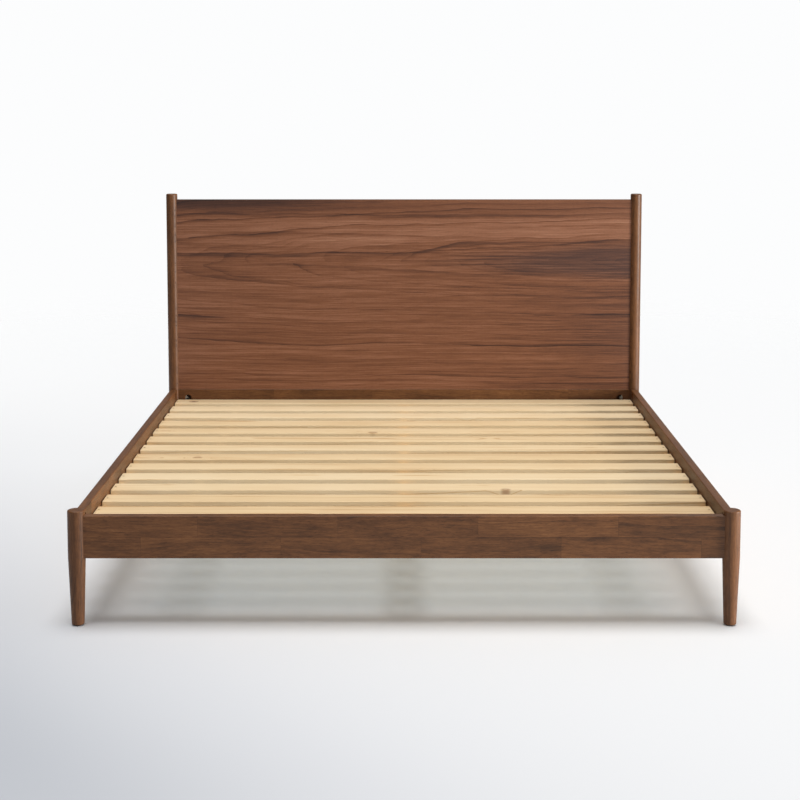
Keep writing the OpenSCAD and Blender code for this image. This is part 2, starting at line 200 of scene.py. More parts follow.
class Graph:
    """A material and the calls that build its nodes."""

    def __init__(self, name, uniform):
        self.material = bpy.data.materials.new(name)
        self.material.use_nodes = True
        self.tree = self.material.node_tree
        self.shader = self.tree.nodes["Principled BSDF"]
        for socket, value in uniform.items():
            self.shader.inputs[socket].default_value = value
        places = self.tree.nodes.new("ShaderNodeTexCoord").outputs["Object"]
        split = self.tree.nodes.new("ShaderNodeSeparateXYZ")
        self.tree.links.new(places, split.inputs[0])
        self.x, self.y, self.z = (Value(self, s) for s in split.outputs)

    def put(self, socket, value):
        if isinstance(value, Value):
            self.tree.links.new(value.socket, socket)
        else:
            socket.default_value = value

    def math(self, operation, *values):
        node = self.tree.nodes.new("ShaderNodeMath")
        node.operation = operation
        for socket, value in zip(node.inputs, values):
            self.put(socket, value)
        return Value(self, node.outputs[0])

    def vector(self, x, y, z):
        node = self.tree.nodes.new("ShaderNodeCombineXYZ")
        for socket, value in zip(node.inputs, (x, y, z)):
            self.put(socket, value)
        return Value(self, node.outputs[0])

    def noise(self, vector, detail=2.0, roughness=0.5, scale=1.0):
        """Smooth noise about 0, mostly between -0.5 and 0.5."""
        node = self.tree.nodes.new("ShaderNodeTexNoise")
        node.inputs["Scale"].default_value = scale
        node.inputs["Detail"].default_value = detail
        node.inputs["Roughness"].default_value = roughness
        self.put(node.inputs["Vector"], vector)
        return (Value(self, node.outputs[0]) - 0.5) * 1.6

    def random(self, vector):
        """A random number from 0 to 1 for each whole-number vector."""
        node = self.tree.nodes.new("ShaderNodeTexWhiteNoise")
        self.put(node.inputs["Vector"], vector)
        return Value(self, node.outputs[0])

    def cells(self, vector):
        """Distance to the nearest of scattered points, and a random colour for each."""
        node = self.tree.nodes.new("ShaderNodeTexVoronoi")
        node.feature = "F1"
        node.inputs["Scale"].default_value = 1.0
        node.inputs["Randomness"].default_value = 1.0
        self.put(node.inputs["Vector"], vector)
        return Value(self, node.outputs["Distance"]), Value(self, node.outputs["Color"])

    def floor(self, value):
        return self.math("FLOOR", value)

    def ease(self, value, low, high):
        """0 below low, 1 above high and smooth between; high may be the smaller."""
        node = self.tree.nodes.new("ShaderNodeMapRange")
        node.interpolation_type = "SMOOTHSTEP"
        self.put(node.inputs["Value"], value)
        flip = high < low
        node.inputs["From Min"].default_value = min(low, high)
        node.inputs["From Max"].default_value = max(low, high)
        node.inputs["To Min"].default_value = 1.0 if flip else 0.0
        node.inputs["To Max"].default_value = 0.0 if flip else 1.0
        return Value(self, node.outputs[0])

    def ramp(self, value, stops):
        node = self.tree.nodes.new("ShaderNodeValToRGB")
        while len(node.color_ramp.elements) < len(stops):
            node.color_ramp.elements.new(0.5)
        for element, (place, colour) in zip(node.color_ramp.elements, stops):
            element.position = place
            element.color = colour
        self.put(node.inputs[0], value)
        return Value(self, node.outputs[0])

    def blend(self, share, first, second, mode="MIX"):
        node = self.tree.nodes.new("ShaderNodeMix")
        node.data_type = "RGBA"
        node.blend_type = mode
        node.clamp_factor = True
        self.put(node.inputs[0], share)
        self.put(node.inputs[6], first)
        self.put(node.inputs[7], second)
        return Value(self, node.outputs[2])

    def finish(self, colour, roughness=None, height=None, height_m=None):
        """Joins what varies to the shader and returns the material. height is in units of height_m."""
        self.put(self.shader.inputs["Base Color"], colour)
        if roughness is not None:
            self.put(self.shader.inputs["Roughness"], roughness)
        if height is not None:
            bump = self.tree.nodes.new("ShaderNodeBump")
            bump.inputs["Distance"].default_value = height_m
            bump.inputs["Strength"].default_value = 1.0
            self.put(bump.inputs["Height"], height)
            self.tree.links.new(bump.outputs[0], self.shader.inputs["Normal"])
        return self.material


# ---- Wood ------------------------------------------------------------------------------


def heart_distance(g, across, deep, along, seed, offset, wander):
    """Distance from a heart that lies off the piece and wanders along it."""
    drift = g.noise(g.vector(along * 0.9, across * 2.0, seed), 2.0) * wander
    ripple = g.noise(g.vector(along * 6.0, across * 18.0, seed + 3.0), 2.0) * (wander * 0.12)
    a = across + offset[0] + along * 0.012
    d = deep + offset[1]
    return g.math("SQRT", a * a + d * d) + drift + ripple


def growth(g, ring, along, seed, spacing):
    """Growth rings that darken slowly and end sharply, each as strong as its year was."""
    years = ring / spacing + g.noise(g.vector(along * 1.3, ring / spacing * 0.3, seed), 3.0) * 1.1
    year = g.floor(years)
    strength = g.random(g.vector(year, seed, 1.0))
    late = g.math("POWER", years - year, 4.0)
    return late * strength * strength


def fibres(g, ring, along, seed):
    """Streaks, short dashes and open pores along the grain."""
    streaks = g.noise(g.vector(along * 2.8, ring * 140.0, seed + 5.0), 3.0, 0.62)
    dashes = g.noise(g.vector(along * 12.0, ring * 520.0, seed + 9.0), 3.0, 0.65)
    pores = g.ease(g.noise(g.vector(along * 62.0, ring * 2100.0, seed + 17.0), 1.0), 0.16, 0.32)
    return streaks, dashes, pores


def walnut_finish(g, tone, tones, grey, streaks, dashes, pores):
    """Lacquered walnut: its tone coloured, greyed where grey is 1, and its open pores in relief."""
    colour = g.ramp(tone, tones)
    colour = g.blend(grey, colour, HEARTWOOD)
    colour = g.blend(pores * 0.45, colour, CAVITY)
    roughness = 0.43 + streaks * 0.10 + dashes * 0.08 + pores * 0.14
    height = dashes * 0.35 + streaks * 0.25 - pores * 0.9
    return g.finish(colour, roughness, height, 0.00012)


PANEL_TONES = (
    (0.0, srgb(52, 32, 25)),
    (0.25, srgb(86, 53, 38)),
    (0.5, srgb(124, 79, 54)),
    (0.75, srgb(148, 101, 76)),
    (1.0, srgb(172, 127, 101)),
)
WALNUT_TONES = (
    (0.0, srgb(40, 24, 13)),
    (0.25, srgb(68, 42, 22)),
    (0.5, srgb(99, 62, 34)),
    (0.75, srgb(123, 80, 46)),
    (1.0, srgb(148, 102, 64)),
)
PINE_TONES = (
    (0.0, srgb(168, 120, 76)),
    (0.3, srgb(208, 170, 122)),
    (0.6, srgb(231, 202, 158)),
    (1.0, srgb(243, 222, 186)),
)
KNOT = srgb(128, 78, 42)
KNOT_RIM = srgb(140, 88, 48)
HEARTWOOD = srgb(74, 54, 50)
CAVITY = srgb(24, 14, 10)
LACQUER = {"Specular IOR Level": 0.36, "Coat Weight": 0.05, "Coat Roughness": 0.3, "IOR": 1.46}
HEART_Z = PANEL_LOW.z + 0.675 * (PANEL_HIGH.z - PANEL_LOW.z)  # height of the veneer's figure
BACK_SHIFT = 3.7  # how far along the same log the veneer of the panel's back was cut

# Dark lines in the veneer: height above the heart at the middle of the bed, rise for each metre
# to the right, where the line starts and ends, and how dark it is.
VEINS = (
    (-0.034, -0.064, -0.62, 0.55, 0.16),
    (0.198, 0.0, -2.0, 2.0, 0.19),
    (0.112, -0.02, -0.85, 0.9, 0.12),
    (-0.258, -0.03, -1.2, -0.70, 0.36),
    (-0.222, 0.0, 0.68, 1.2, 0.32),
)
VEIN_EDGE = 0.0022
VEIN_FADE = 0.020
VEIN_RUN_OUT = 0.16


def vein(g, v, x, path, start, end, strength):
    """A dark line in the veneer, sharp above and fading below, between two places along it."""
    gap = v - path
    line = g.ease(gap, VEIN_EDGE, 0.0) * g.ease(gap, -VEIN_FADE, 0.0)
    run = g.ease(x, start, start + VEIN_RUN_OUT) * g.ease(x, end, end - VEIN_RUN_OUT)
    return line * run * strength


def veneer_material():
    """Crown-cut walnut veneer, laid with its grain across the bed."""
    g = Graph("walnut_veneer", LACQUER)
    back = g.ease(g.y, PANEL_LOW.y + 0.006, PANEL_HIGH.y - 0.006)
    x = g.x + back * BACK_SHIFT
    meander = g.noise(g.vector(x * 1.1, g.z * 1.6, 2.0), 2.0) * 0.034
    ripple = g.noise(g.vector(x * 5.2, g.z * 14.0, 5.0), 3.0) * 0.011
    v = g.z - HEART_Z + meander
    depth = 0.092 - g.x * 0.074
    ring = g.math("SQRT", v * v + depth * depth) + ripple
    above = g.math("GREATER_THAN", v, 0.0)
    crown = 0.35 + 0.65 * g.ease(g.math("ABSOLUTE", v), 0.012, 0.075)
    years = growth(g, ring, x, 21.0 + above * 5.0, 0.023) * crown
    fine_years = growth(g, ring, x, 33.0 + above * 5.0, 0.0085)
    fibre_z = g.z + meander * 0.5 + ripple * 0.5
    streaks, dashes, pores = fibres(g, fibre_z, x, 21.0)
    bands = g.noise(g.vector(x * 0.8, fibre_z * 34.0, 3.0), 3.0, 0.6)
    broad = g.noise(g.vector(x * 0.9, ring * 12.0, 3.0), 2.0)
    heart = g.ease(ring + streaks * 0.03, 0.092, 0.045)
    wave = v + ripple * 1.2
    veins = vein(g, wave, x, 0.038 + 0.046 * g.ease(g.x, 0.0, 0.27), -2.0, 2.0, 0.30)
    for height, rise, start, end, strength in VEINS:
        veins = veins + vein(g, wave, x, height + g.x * rise, start, end, strength)
    top = g.ease(g.z + g.noise(g.vector(x * 1.4, g.z * 9.0, 8.0)) * 0.03, 1.080, 1.116)
    top = top * (0.10 + 0.62 * g.ease(g.x, 0.05, -0.75) + streaks * 1.2)
    # painted sheen: a lighter band across the upper panel, growing towards the right, painted into the
    # tone
    painted_sheen = g.ease(v, 0.05, 0.09) * g.ease(v, 0.20, 0.17)
    painted_sheen = painted_sheen * (0.45 + 0.55 * g.ease(g.x, -0.75, -0.15))
    # darker towards the lower right of the panel
    lower_right_dark = g.ease(g.x, 0.25, 0.85) * g.ease(v, -0.04, -0.11)
    tone = 0.56 + broad * 0.14 + bands * 0.32 + streaks * 0.46 + dashes * 0.34
    tone = tone + painted_sheen * 0.17 - lower_right_dark * 0.12 - heart * (0.16 - streaks * 0.4) - top * 0.40
    tone = tone - years * 0.42 - fine_years * 0.22 - veins
    grey = heart * 0.60 + top * 0.35 + veins * 0.4
    return walnut_finish(g, tone, PANEL_TONES, grey, streaks, dashes, pores)


def walnut_material(name, axes, apart, staves=False):
    """Solid walnut. axes are the letters of the directions along, across and into the grain.

    apart has the letters of the directions in which the pieces of this material lie apart."""
    g = Graph(name, LACQUER)
    along, across, deep = (getattr(g, letter) for letter in axes)
    side = 1.0
    for letter in apart:
        side = side * 2.0 + g.floor(getattr(g, letter))
    seed = side * 3.1
    if staves:
        row = g.floor((g.z - RAIL_LOW.z) / STAVE_H)
        shifted = along / STAVE_L + g.random(g.vector(row, side, 4.0)) * 7.0
        block = g.floor(shifted)
        pick = g.random(g.vector(block, row, side))
        seed = seed + pick * 40.0
        edge_row = g.math("PINGPONG", g.z - RAIL_LOW.z, STAVE_H)
        edge_end = g.math("PINGPONG", shifted, 0.5) * STAVE_L
        near_row = g.ease(g.math("ABSOLUTE", edge_row - STAVE_H), 0.0011, 0.0003)
        near_end = g.ease(edge_end, 0.0009, 0.0002)
        joint = g.math("MAXIMUM", near_row, near_end)
    ring = heart_distance(g, across, deep, along, seed, (0.11, 0.07), 0.030)
    years = growth(g, ring, along, seed, 0.009)
    streaks, dashes, pores = fibres(g, ring, along, seed)
    mottle = g.noise(g.vector(along * 9.0, across * 24.0, deep * 24.0), 3.0, 0.6)
    flecks = g.noise(g.vector(along * 40.0, across * 230.0, deep * 230.0), 3.0, 0.62)
    broad = g.noise(g.vector(along * 1.4, ring * 22.0, seed), 2.0)
    patch = g.noise(g.vector(along * 4.0, across * 11.0, seed + 2.0), 2.0)
    tone = 0.555 + broad * 0.18 + streaks * 0.24 + dashes * 0.34 + flecks * 0.30
    tone = tone + mottle * 0.26 + patch * 0.22 - years * 0.20
    if staves:
        tone = tone + (pick - 0.5) * 0.18 - joint * 0.14
    return walnut_finish(g, tone, WALNUT_TONES, 0.0, streaks, dashes, pores)


def pine_material(name, axes, first, pitch):
    """Planed pine with growth rings and a few knots, for boards a pitch apart from a first one.

    axes are the letters of the directions along the grain, to the next board, and of the third."""
    g = Graph(name, {"IOR": 1.45, "Specular IOR Level": 0.35})
    along, apart, third = (getattr(g, letter) for letter in axes)
    start = getattr(first, axes[1])
    board = g.floor((apart - start) / pitch + 0.5)
    across = apart - start - board * pitch
    deep = third - getattr(first, axes[2])
    seed = board * 5.3
    spot, pick = g.cells(g.vector(along * 6.0 + seed, across * 8.0, seed))
    live = g.ease(pick, 0.69, 0.71)
    knot = g.ease(spot, 0.085, 0.03) * live
    rim = g.ease(spot, 0.15, 0.09) * g.ease(spot, 0.05, 0.09) * live
    sawn = g.random(g.vector(board, 9.0, 2.0)) - 0.5
    ring = heart_distance(g, across + sawn * 0.11, deep, along, seed, (0.0, 0.034), 0.02)
    ring = ring + g.ease(spot, 0.45, 0.0) * live * 0.011
    season = g.noise(g.vector(along * 0.5, ring * 330.0, seed), 1.5)
    fine = g.noise(g.vector(along * 9.0, ring * 1500.0, seed + 4.0), 3.0, 0.6)
    blotch = g.noise(g.vector(along * 3.0, across * 12.0, seed + 7.0), 2.0)
    late = g.ease(season, 0.05, 0.3)
    lot = g.random(g.vector(board, 3.0, 7.0)) - 0.5
    tone = 0.70 + blotch * 0.24 + fine * 0.22 - late * 0.34 + lot * 0.26
    colour = g.ramp(tone, PINE_TONES)
    colour = g.blend(knot, colour, KNOT)
    colour = g.blend(rim * 0.6, colour, KNOT_RIM)
    roughness = 0.56 + fine * 0.12 - knot * 0.15
    return g.finish(colour, roughness, fine * 0.5 + late * 0.4 + knot * 0.6, 0.00015)


def beech_material():
    g = Graph("beech", {"IOR": 1.45})
    along = g.x + g.y
    fleck = g.noise(g.vector(along * 30.0, g.z * 900.0, g.x * 900.0), 2.0)
    colour = g.ramp(0.5 + fleck, ((0.2, srgb(176, 126, 84)), (0.8, srgb(214, 170, 124))))
    return g.finish(colour, 0.55 + fleck * 0.1, fleck, 0.0001)


# ---- Metal, plastic and webbing --------------------------------------------------------


def metal_material(name, light, dark, roughness, cast=False):
    """Plated or cast metal: a soft mottle, and fine scratches or cast grain."""
    g = Graph(name, {"Metallic": 1.0})
    place = g.vector(g.x, g.y, g.z)
    mottle = g.noise(place, 2.0, 0.5, 190.0)
    grain = g.noise(place, 3.0, 0.6, 2600.0 if cast else 1300.0)
    scratch = g.noise(g.vector(g.x * 300.0, g.y * 300.0, g.z * 4200.0), 2.0)
    colour = g.ramp(0.5 + mottle * 0.9 + grain * 0.25, ((0.15, dark), (0.85, light)))
    rough = roughness + mottle * 0.10 + scratch * 0.08
    return g.finish(colour, rough, grain + scratch * (0.2 if cast else 0.6), 0.00004)


def nylon_material():
    g = Graph("nylon", {"IOR": 1.5})
    place = g.vector(g.x, g.y, g.z)
    grain = g.noise(place, 3.0, 0.6, 2200.0)
    scuff = g.noise(g.vector(g.x * 90.0, g.y * 90.0, g.z * 700.0), 3.0, 0.6)
    colour = g.ramp(0.5 + scuff, ((0.2, srgb(46, 37, 32)), (0.9, srgb(82, 69, 60))))
    return g.finish(colour, 0.46 + scuff * 0.2, grain + scuff * 0.4, 0.00005)


THREAD = 0.0011  # from one thread of the webbing to the next
WEBBING_TONES = ((0.0, srgb(150, 145, 136)), (0.5, srgb(214, 210, 201)), (1.0, srgb(236, 233, 226)))


def webbing_material():
    """Plain-woven tape: threads over and under each other."""
    g = Graph("webbing", {"Sheen Weight": 0.25, "Sheen Roughness": 0.5, "IOR": 1.45})
    u, w = g.x / THREAD, g.y / THREAD
    over = g.math("PINGPONG", g.floor(u) + g.floor(w), 1.0)
    warp = g.math("SINE", g.math("FRACT", u) * math.pi)
    weft = g.math("SINE", g.math("FRACT", w) * math.pi)
    weave = warp * over + weft * (1.0 - over)
    fuzz = g.noise(g.vector(g.x, g.y, g.z), 2.0, 0.6, 2500.0)
    soil = g.noise(g.vector(g.x, g.y, g.z), 2.0, 0.5, 14.0)
    tone = 0.30 + weave * 0.5 + fuzz * 0.2 + soil * 0.2
    colour = g.ramp(tone, WEBBING_TONES)
    return g.finish(colour, 0.85 + fuzz * 0.1, weave + fuzz * 0.2, 0.0003)


# ---- Carried-over CAD nodes ------------------------------------------------------------


CREASE_ANGLE = math.radians(38)  # faces that meet at more than this have an edge between them
JOIN_DISTANCE = 0.000005


def geometry_group(name):
    group = bpy.data.node_groups.new(name, "GeometryNodeTree")
    group.interface.new_socket("Geometry", in_out="INPUT", socket_type="NodeSocketGeometry")
    group.interface.new_socket("Geometry", in_out="OUTPUT", socket_type="NodeSocketGeometry")
    return group


def cleanup_group():
    """Joins the CAD faces' shared edges, so that they can be eased and shaded as one surface."""
    group = geometry_group("joined_faces")
    add = group.nodes.new
    last = add("NodeGroupInput").outputs[0]
    for attribute in ("custom_normal", "sharp_edge", "sharp_face"):
        node = add("GeometryNodeRemoveAttribute")
        node.inputs["Name"].default_value = attribute
        group.links.new(last, node.inputs[0])
        last = node.outputs[0]
    merge = add("GeometryNodeMergeByDistance")
    merge.inputs["Distance"].default_value = JOIN_DISTANCE
    group.links.new(last, merge.inputs[0])
    group.links.new(merge.outputs[0], add("NodeGroupOutput").inputs[0])
    return group


def edge_group():
    """Shades a surface smooth, apart from its creases."""
    group = geometry_group("creased_edges")
    add = group.nodes.new
    faces = add("GeometryNodeSetShadeSmooth")
    faces.domain = "FACE"
    faces.inputs["Shade Smooth"].default_value = True
    group.links.new(add("NodeGroupInput").outputs[0], faces.inputs[0])
    angle = add("GeometryNodeInputMeshEdgeAngle")
    gentle = add("FunctionNodeCompare")
    gentle.operation = "LESS_THAN"
    gentle.inputs[1].default_value = CREASE_ANGLE
    group.links.new(angle.outputs[0], gentle.inputs[0])
    edges = add("GeometryNodeSetShadeSmooth")
    edges.domain = "EDGE"
    group.links.new(faces.outputs[0], edges.inputs[0])
    group.links.new(gentle.outputs[0], edges.inputs["Shade Smooth"])
    group.links.new(edges.outputs[0], add("NodeGroupOutput").inputs[0])
    return group


def paint(obj, material):
    obj.data.materials.clear()
    obj.data.materials.append(material)


def dress(node, material, ease=0.0):
    """Gives a CAD node its material and, with a modifier, slightly rounded edges."""
    obj = frame["nodes"][node]
    paint(obj, material)
    joined = obj.modifiers.new("join", "NODES")
    joined.node_group = JOIN
    if ease:
        bevel = obj.modifiers.new("ease", "BEVEL")
        bevel.width = ease
        bevel.segments = 2
        bevel.limit_method = "ANGLE"
        bevel.angle_limit = CREASE_ANGLE
        bevel.use_clamp_overlap = True
    creased = obj.modifiers.new("crease", "NODES")
    creased.node_group = CREASE
    if ease:
        weighted = obj.modifiers.new("shade", "WEIGHTED_NORMAL")
        weighted.keep_sharp = True


# ---- Mesh pieces -----------------------------------------------------------------------


def piece(name, bm, body, material, slot, *nodes):
    """Makes a piece from a bmesh that stands for CAD nodes, rides on a body and has a finish."""
    bmesh.ops.recalc_face_normals(bm, faces=bm.faces)
    mesh = bpy.data.meshes.new(name)
    bm.to_mesh(mesh)
    bm.free()
    obj = bpy.data.objects.new(name, mesh)
    bpy.context.scene.collection.objects.link(obj)
    mesh.materials.append(material)
    creased = obj.modifiers.new("crease", "NODES")
    creased.node_group = CREASE
    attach(obj, body)
    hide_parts(*nodes)
    return obj


def solids(node):
    """The box of each separate solid of a CAD node, as (lowest, highest) corners."""
    bm = bmesh.new()
    bm.from_mesh(frame["nodes"][node].data)
    bmesh.ops.remove_doubles(bm, verts=bm.verts, dist=1e-5)
    left = set(bm.verts)
    boxes = []
    while left:
        stack = [left.pop()]
        found = []
        while stack:
            vert = stack.pop()
            found.append(vert.co.copy())
            for edge in vert.link_edges:
                other = edge.other_vert(vert)
                if other in left:
                    left.discard(other)
                    stack.append(other)
        low = Vector(min(c[i] for c in found) for i in range(3))
        high = Vector(max(c[i] for c in found) for i in range(3))
        boxes.append((low, high))
    bm.free()
    return sorted(boxes, key=lambda box: tuple(round(c, 4) for c in box[0]))


def turned(bm, outline, sides, place, twist=None):
    """Adds a surface of revolution about Z. outline has (radius, height) pairs from end to end.

    twist, if given, is a function of radius, height and angle that returns the final radius."""
    rings = []
    for radius, height in outline:
        if radius < 1e-7:
            rings.append([bm.verts.new(place @ Vector((0, 0, height)))])
            continue
        ring = []
        for k in range(sides):
            angle = 2 * math.pi * k / sides
            r = twist(radius, height, angle) if twist else radius
            point = Vector((r * math.cos(angle), r * math.sin(angle), height))
            ring.append(bm.verts.new(place @ point))
        rings.append(ring)
    for lower, upper in zip(rings, rings[1:]):
        for k in range(sides):
            after = (k + 1) % sides
            if len(lower) == 1:
                bm.faces.new((lower[0], upper[after], upper[k]))
            elif len(upper) == 1:
                bm.faces.new((lower[k], lower[after], upper[0]))
            else:
                bm.faces.new((lower[k], lower[after], upper[after], upper[k]))
    return rings


M8_R = 0.004
M8_PITCH = 0.00125
M8_DEPTH = 0.00062
M8_TIP_R = 0.0032
THREAD_STEPS = 8  # rows for each turn


def thread_outline(low, high):
    """(radius, height) rows close enough together to carry an M8 thread between two heights."""
    rows = max(2, round((high - low) / M8_PITCH * THREAD_STEPS))
    return [(M8_R, low + (high - low) * k / rows) for k in range(rows + 1)]


def thread_twist(low, high):
    """A right-handed M8 thread between two heights, which runs out smoothly at both ends."""

    def radius_at(radius, height, angle):
        if not (low - 1e-9 <= height <= high + 1e-9) or abs(radius - M8_R) > 1e-6:
            return radius
        turn = (height / M8_PITCH - angle / (2 * math.pi)) % 1.0
        groove = abs(2 * turn - 1)
        run_out = min(1.0, (height - low) / M8_PITCH, (high - height) / M8_PITCH)
        return radius - M8_DEPTH * (0.12 + 0.88 * groove) * max(0.0, run_out)

    return radius_at


def hexagon(bm, across_flats, low, high, chamfer, place):
    """Adds a hexagonal prism with the turned chamfers of a nut at both ends."""
    corner = across_flats / 2 / math.cos(math.radians(30))
    sides = 36

    def reach(angle):
        local = (angle % (math.pi / 3)) - math.pi / 6
        return across_flats / 2 / math.cos(local)

    flat = across_flats / 2 * 0.95
    drop = chamfer / (corner - flat)
    levels = ((low, True), (low + chamfer, False), (high - chamfer, False), (high, True))
    rings = []
    for height, is_end in levels:
        ring = []
        for k in range(sides):
            angle = 2 * math.pi * k / sides
            full = reach(angle)
            if is_end:
                point = Vector((flat * math.cos(angle), flat * math.sin(angle), height))
            else:
                back = (corner - full) * drop
                toward_end = -back if height < (low + high) / 2 else back
                point = Vector((full * math.cos(angle), full * math.sin(angle), height + toward_end))
            ring.append(bm.verts.new(place @ point))
        rings.append(ring)
    for lower, upper in zip(rings, rings[1:]):
        for k in range(sides):
            after = (k + 1) % sides
            bm.faces.new((lower[k], lower[after], upper[after], upper[k]))
    bm.faces.new(list(reversed(rings[0])))
    bm.faces.new(rings[-1])


def stem_piece(which, material):
    """An adjustable foot's stem: captive disc, neck, spanner collar and M8 thread."""
    node = "foot_stem_" + which
    low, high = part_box(node)
    pad_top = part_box("foot_pad_" + which)[1].z
    place = Matrix.Translation(Vector(((low.x + high.x) / 2, (low.y + high.y) / 2, 0)))
    disc_r, disc_t, neck_r = 0.005, 0.002, 0.003
    disc_top = low.z + disc_t
    collar_flats, collar_t, collar_low = 0.013, 0.004, pad_top + 0.0008
    thread_low, thread_high = collar_low + collar_t, high.z - 0.0012
    bm = bmesh.new()
    outline = [(0, low.z), (disc_r - 0.0004, low.z), (disc_r, low.z + 0.0004)]
    outline += [(disc_r, disc_top - 0.0003), (disc_r - 0.0003, disc_top), (neck_r, disc_top)]
    outline += [(neck_r, collar_low + 0.001), (M8_R, collar_low + 0.001)]
    outline += thread_outline(thread_low, thread_high)
    outline += [(M8_TIP_R, high.z), (0, high.z)]
    turned(bm, outline, 32, place, thread_twist(thread_low, thread_high))
    hexagon(bm, collar_flats, collar_low, collar_low + collar_t, 0.0007, place)
    return piece("stem_" + which, bm, "stem_" + which, material, "bolt_steel", node)


def pad_piece(which, material):
    """An adjustable foot's pad: a moulded disc with grip ribs and a socket for the stem."""
    node = "foot_pad_" + which
    low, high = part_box(node)
    centre = (low + high) / 2
    radius, top = (high.x - low.x) / 2, high.z
    place = Matrix.Translation((centre.x, centre.y, 0))
    ribs, rib_depth, round_r, round_steps = 40, 0.00045, 0.003, 6
    neck_hole_r, disc_hole_r, lip_t, floor_t = 0.00335, 0.00535, 0.0018, 0.002

    def gripped(r, height, angle):
        if r < radius - 0.0015 or not (0.001 < height < top - 0.0025):
            return r
        return r - rib_depth * (0.5 - 0.5 * math.cos(angle * ribs)) ** 2

    bm = bmesh.new()
    outline = [(0, 0), (radius - 0.0012, 0), (radius - 0.0004, 0.0004), (radius, 0.0012)]
    outline += [(radius, 0.0022), (radius, top - 0.0034)]
    for k in range(round_steps + 1):
        angle = math.radians(90 * k / round_steps)
        across, up = round_r * math.cos(angle), round_r * math.sin(angle)
        outline.append((radius - round_r + across, top - round_r + up))
    outline += [(0.0085, top), (0.0078, top - 0.0006), (0.0068, top - 0.0006), (0.0062, top)]
    outline += [(0.0037, top), (neck_hole_r, top - 0.0004), (neck_hole_r, top - lip_t)]
    outline += [(disc_hole_r, top - lip_t), (disc_hole_r, floor_t), (0, floor_t)]
    turned(bm, outline, ribs * 4, place, gripped)
    return piece("pad_" + which, bm, "pad_" + which, material, "nylon", node)


def add_screw(bm, place, length, pan):
    """Adds a cross-recessed wood screw whose head's top is at Z = 0 and whose point is below."""
    head, shank, sides = 0.004, 0.002, 24
    bottom = -length
    under = [(0, bottom), (0.0005, bottom), (shank, bottom + 0.005)]
    if pan:
        outline = under + [(shank, -0.0024), (head, -0.0024), (head, -0.0012)]
        outline += [(head - 0.0003, -0.0005), (head - 0.0010, 0)]
    else:
        outline = under + [(shank, -0.0026), (head, -0.0004), (head, -0.0001), (head - 0.0001, 0)]
    rim = turned(bm, outline, sides, place)[-1]
    slot_half, slot_reach, slot_deep = 0.00045, 0.0021, 0.0016
    corners = []
    for quarter in range(4):
        turn = Matrix.Rotation(math.radians(90 * quarter), 4, "Z")
        inner = slot_half * 1.3
        for x, y in ((slot_reach, -slot_half), (slot_reach, slot_half), (inner, inner)):
            corners.append(turn @ Vector((x, y, 0)))
    upper = [bm.verts.new(place @ c) for c in corners]
    lower = [bm.verts.new(place @ Vector((c.x * 0.5, c.y * 0.5, -slot_deep))) for c in corners]
    count = len(corners)
    for k in range(count):
        after = (k + 1) % count
        bm.faces.new((upper[k], upper[after], lower[after], lower[k]))
    bm.faces.new(lower)
    loop = [bm.edges.get((rim[k], rim[(k + 1) % sides])) for k in range(sides)]
    cross = [bm.edges.get((upper[k], upper[(k + 1) % count])) for k in range(count)]
    bmesh.ops.triangle_fill(bm, use_beauty=True, edges=loop + cross)


def screws_piece(node, axis, sign, material, length, pan=False):
    """All of a node's screws, along an axis. Their heads point along it if sign is 1.

    If sign is 0, they point towards the middle of the bed."""
    bm = bmesh.new()
    index = "XYZ".index(axis)
    for low, high in solids(node):
        centre = (low + high) / 2
        towards = sign if sign else -math.copysign(1, centre[index])
        direction = Vector((0, 0, 0))
        direction[index] = towards
        head_top = centre.copy()
        head_top[index] = high[index] if towards > 0 else low[index]
        turn = direction.to_track_quat("Z", "Y").to_matrix().to_4x4()
        spin = Matrix.Rotation(math.radians(37.0 * (len(bm.verts) % 7)), 4, "Z")
        add_screw(bm, Matrix.Translation(head_top) @ turn @ spin, length, pan)
    return piece(node.replace("_screws", "_screw_set"), bm, "frame", material, "screw_steel", node)


def bolts_piece(node, material):
    """The rail bolts of one end: plain shanks whose ends in the nut pockets are threaded."""
    bm = bmesh.new()
    thread_l = 0.017
    for low, high in solids(node):
        index = max(range(3), key=lambda i: high[i] - low[i])
        centre = (low + high) / 2
        length = high[index] - low[index]
        inward = Vector((0, 0, 0))
        inward[index] = -math.copysign(1, centre[index])
        start = centre - inward * (length / 2)
        place = Matrix.Translation(start) @ inward.to_track_quat("Z", "Y").to_matrix().to_4x4()
        thread_low, thread_high = length - thread_l, length - 0.001
        outline = [(0, 0), (0.003, 0), (M8_R, 0.003)]
        outline += thread_outline(thread_low, thread_high)
        outline += [(M8_TIP_R, length), (0, length)]
        turned(bm, outline, 20, place, thread_twist(thread_low, thread_high))
    return piece(node.replace("_bolts", "_bolt_set"), bm, "frame", material, "bolt_steel", node)


